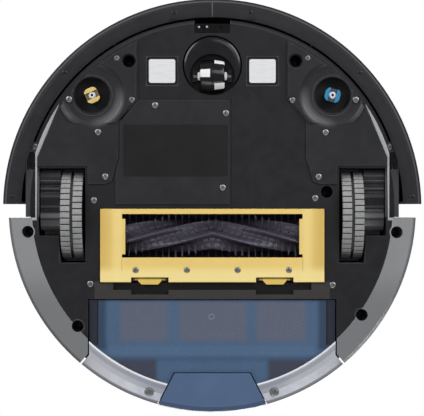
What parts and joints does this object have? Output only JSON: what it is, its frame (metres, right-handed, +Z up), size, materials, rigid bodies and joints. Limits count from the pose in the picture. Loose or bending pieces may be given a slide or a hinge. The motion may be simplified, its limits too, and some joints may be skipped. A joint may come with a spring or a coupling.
{
  "type": "robot vacuum",
  "caption": "Round low robot vacuum: sprung bumper, dropping drive wheels, caster, roller brush under a yellow guard and a pull-out dust bin at the back.",
  "frame": {"origin": "on the floor under the centre of the round body", "axes": "+Z up, the bumper at -Y, the dust bin at +Y"},
  "size_m": [0.31, 0.31, 0.076],
  "materials": {
    "base_black": "satin",
    "rim_grey": "gloss",
    "cover_gloss": "gloss",
    "module_black": "satin",
    "door_black": "satin",
    "label_black": "satin",
    "cell_wrap": "satin",
    "board_green": "satin",
    "contact_nickel": "gloss",
    "sensor_black": "gloss",
    "bearing_ochre": "satin",
    "motor_steel": "satin",
    "screw_steel": "satin",
    "screw_black": "satin",
    "jack_black": "satin",
    "spring_steel": "satin",
    "bumper_grey": "satin",
    "caster_black": "satin",
    "caster_rubber": "satin",
    "gearbox_black": "satin",
    "hub_black": "satin",
    "tyre_grey": "satin",
    "coupling_yellow": "satin",
    "coupling_blue": "satin",
    "roller_violet": "satin",
    "bristle": "satin",
    "gear_white": "gloss",
    "pinion_brass": "satin",
    "guard_yellow": "satin",
    "blade_rubber": "satin",
    "bin_blue": "gloss",
    "filter_mauve": "satin",
    "trim_silver": "gloss",
    "button_blue": "satin",
    "start_silver": "gloss",
    "switch_red": "gloss",
    "fan_white": "gloss"
  },
  "bodies": {
    "chassis": {"base_housing": "base_black", "side_frame": "rim_grey", "top_cover": "cover_gloss", "module_plate_left": "module_black", "module_plate_right": "module_black", "battery_door": "door_black", "door_label": "label_black", "battery_cells": "cell_wrap", "main_board": "board_green", "charging_contacts": "contact_nickel", "cliff_sensors": "sensor_black", "caster_socket": "base_black", "brush_chamber": "base_black", "brush_bearing": "bearing_ochre", "gearbox_case": "base_black", "brush_motors": "motor_steel", "air_duct": "base_black", "fan_housing": "base_black", "fan_motor": "motor_steel", "base_screws": "screw_steel", "case_screws": "screw_steel", "dc_jack": "jack_black", "bumper_springs": "spring_steel", "bumper_switches": "jack_black", "wheel_springs": "spring_steel"},
    "bumper": {"bumper_shell": "bumper_grey", "sensor_window": "sensor_black", "bumper_screws": "screw_black"},
    "caster": {"caster_fork": "caster_black", "caster_axle": "screw_steel"},
    "caster_roller": {"caster_wheel": "caster_rubber"},
    "arm_left": {"wheel_gearbox_left": "gearbox_black", "wheel_motor_left": "motor_steel"},
    "arm_right": {"wheel_gearbox_right": "gearbox_black", "wheel_motor_right": "motor_steel"},
    "wheel_left": {"wheel_hub_left": "hub_black", "tyre_left": "tyre_grey"},
    "wheel_right": {"wheel_hub_right": "hub_black", "tyre_right": "tyre_grey"},
    "side_drive_left": {"side_coupling_left": "coupling_yellow"},
    "side_drive_right": {"side_coupling_right": "coupling_blue"},
    "main_brush": {"brush_core": "roller_violet", "brush_bristles": "bristle", "brush_gear": "gear_white"},
    "idler": {"idler_gear": "gear_white"},
    "pinion": {"motor_pinion": "pinion_brass"},
    "guard": {"brush_guard": "guard_yellow", "guard_screws": "screw_steel", "guard_blade": "blade_rubber"},
    "latch_left": {"guard_latch_left": "guard_yellow"},
    "latch_right": {"guard_latch_right": "guard_yellow"},
    "bin": {"bin_body": "bin_blue", "bin_lid": "bin_blue", "bin_filter": "filter_mauve", "bin_trims": "trim_silver", "bin_screws": "screw_steel"},
    "bin_release": {"bin_button": "button_blue"},
    "start": {"start_button": "start_silver"},
    "switch": {"power_switch": "switch_red"},
    "fan": {"fan_impeller": "fan_white"}
  },
  "joints": [
    {"name": "bumper_press", "type": "slide", "parent": "chassis", "child": "bumper", "axis": [0, 1, 0], "range_m": [0, 0.004], "stiffness_N_per_m": 400, "springref_m": -0.005, "deforming": ["bumper_springs"]},
    {"name": "caster_swivel", "type": "hinge", "parent": "chassis", "child": "caster", "pos_m": [0, -0.1052, 0.03], "axis": [0, 0, 1], "continuous": true},
    {"name": "caster_roll", "type": "hinge", "parent": "caster", "child": "caster_roller", "pos_m": [0, -0.0974, 0.012], "axis": [1, 0, 0], "continuous": true},
    {"name": "wheel_drop_left", "type": "hinge", "parent": "chassis", "child": "arm_left", "pos_m": [-0.12, -0.023, 0.025], "axis": [-1, 0, 0], "range_deg": [0, 32], "stiffness_Nm_per_rad": 0.2, "springref_deg": 51.57, "deforming": ["wheel_springs"]},
    {"name": "wheel_drop_right", "type": "hinge", "parent": "chassis", "child": "arm_right", "pos_m": [0.12, -0.023, 0.025], "axis": [-1, 0, 0], "range_deg": [0, 32], "stiffness_Nm_per_rad": 0.2, "springref_deg": 51.57, "deforming": ["wheel_springs"]},
    {"name": "wheel_spin_left", "type": "hinge", "parent": "arm_left", "child": "wheel_left", "pos_m": [-0.1035, 0.005, 0.033], "axis": [1, 0, 0], "continuous": true},
    {"name": "wheel_spin_right", "type": "hinge", "parent": "arm_right", "child": "wheel_right", "pos_m": [0.1035, 0.005, 0.033], "axis": [1, 0, 0], "continuous": true},
    {"name": "side_brush_left", "type": "hinge", "parent": "chassis", "child": "side_drive_left", "pos_m": [-0.0886, -0.0832, 0.02], "axis": [0, 0, 1], "continuous": true},
    {"name": "side_brush_right", "type": "hinge", "parent": "chassis", "child": "side_drive_right", "pos_m": [0.0886, -0.0832, 0.02], "axis": [0, 0, 1], "continuous": true},
    {"name": "brush_spin", "type": "hinge", "parent": "chassis", "child": "main_brush", "pos_m": [0, 0.02035, 0.024], "axis": [1, 0, 0], "continuous": true},
    {"name": "idler_spin", "type": "hinge", "parent": "chassis", "child": "idler", "pos_m": [0.077, 0.027, 0.04244], "axis": [1, 0, 0], "continuous": true},
    {"name": "pinion_spin", "type": "hinge", "parent": "chassis", "child": "pinion", "pos_m": [0.077, 0.02035, 0.0583], "axis": [1, 0, 0], "continuous": true},
    {"name": "guard_swing", "type": "hinge", "parent": "chassis", "child": "guard", "pos_m": [0, 0.0005, 0.0085], "axis": [-1, 0, 0], "range_deg": [0, 75]},
    {"name": "latch_press_left", "type": "hinge", "parent": "guard", "child": "latch_left", "pos_m": [-0.046, 0.0524, 0.0116], "axis": [1, 0, 0], "range_deg": [0, 12], "stiffness_Nm_per_rad": 0.02, "springref_deg": -8.59},
    {"name": "latch_press_right", "type": "hinge", "parent": "guard", "child": "latch_right", "pos_m": [0.046, 0.0524, 0.0116], "axis": [1, 0, 0], "range_deg": [0, 12], "stiffness_Nm_per_rad": 0.02, "springref_deg": -8.59},
    {"name": "bin_pull", "type": "slide", "parent": "chassis", "child": "bin", "axis": [0, 1, 0], "range_m": [0, 0.12]},
    {"name": "bin_button_press", "type": "hinge", "parent": "bin", "child": "bin_release", "pos_m": [0, 0.1217, 0.0102], "axis": [1, 0, 0], "range_deg": [0, 2], "stiffness_Nm_per_rad": 3, "springref_deg": -1.15},
    {"name": "start_press", "type": "slide", "parent": "chassis", "child": "start", "axis": [0, 0, -1], "range_m": [0, 0.001], "stiffness_N_per_m": 800, "springref_m": -0.001},
    {"name": "power_rock", "type": "hinge", "parent": "chassis", "child": "switch", "pos_m": [0.12817, 0.074, 0.036], "axis": [-0.5, 0.866, 0], "range_deg": [0, 10]},
    {"name": "fan_spin", "type": "hinge", "parent": "chassis", "child": "fan", "pos_m": [-0.031, -0.041, 0.05], "axis": [0, 0, 1], "continuous": true}
  ],
  "couplings": [
    {"joint": "idler_spin", "follows": "brush_spin", "ratio": -0.88462},
    {"joint": "pinion_spin", "follows": "brush_spin", "ratio": 1.3529}
  ]
}
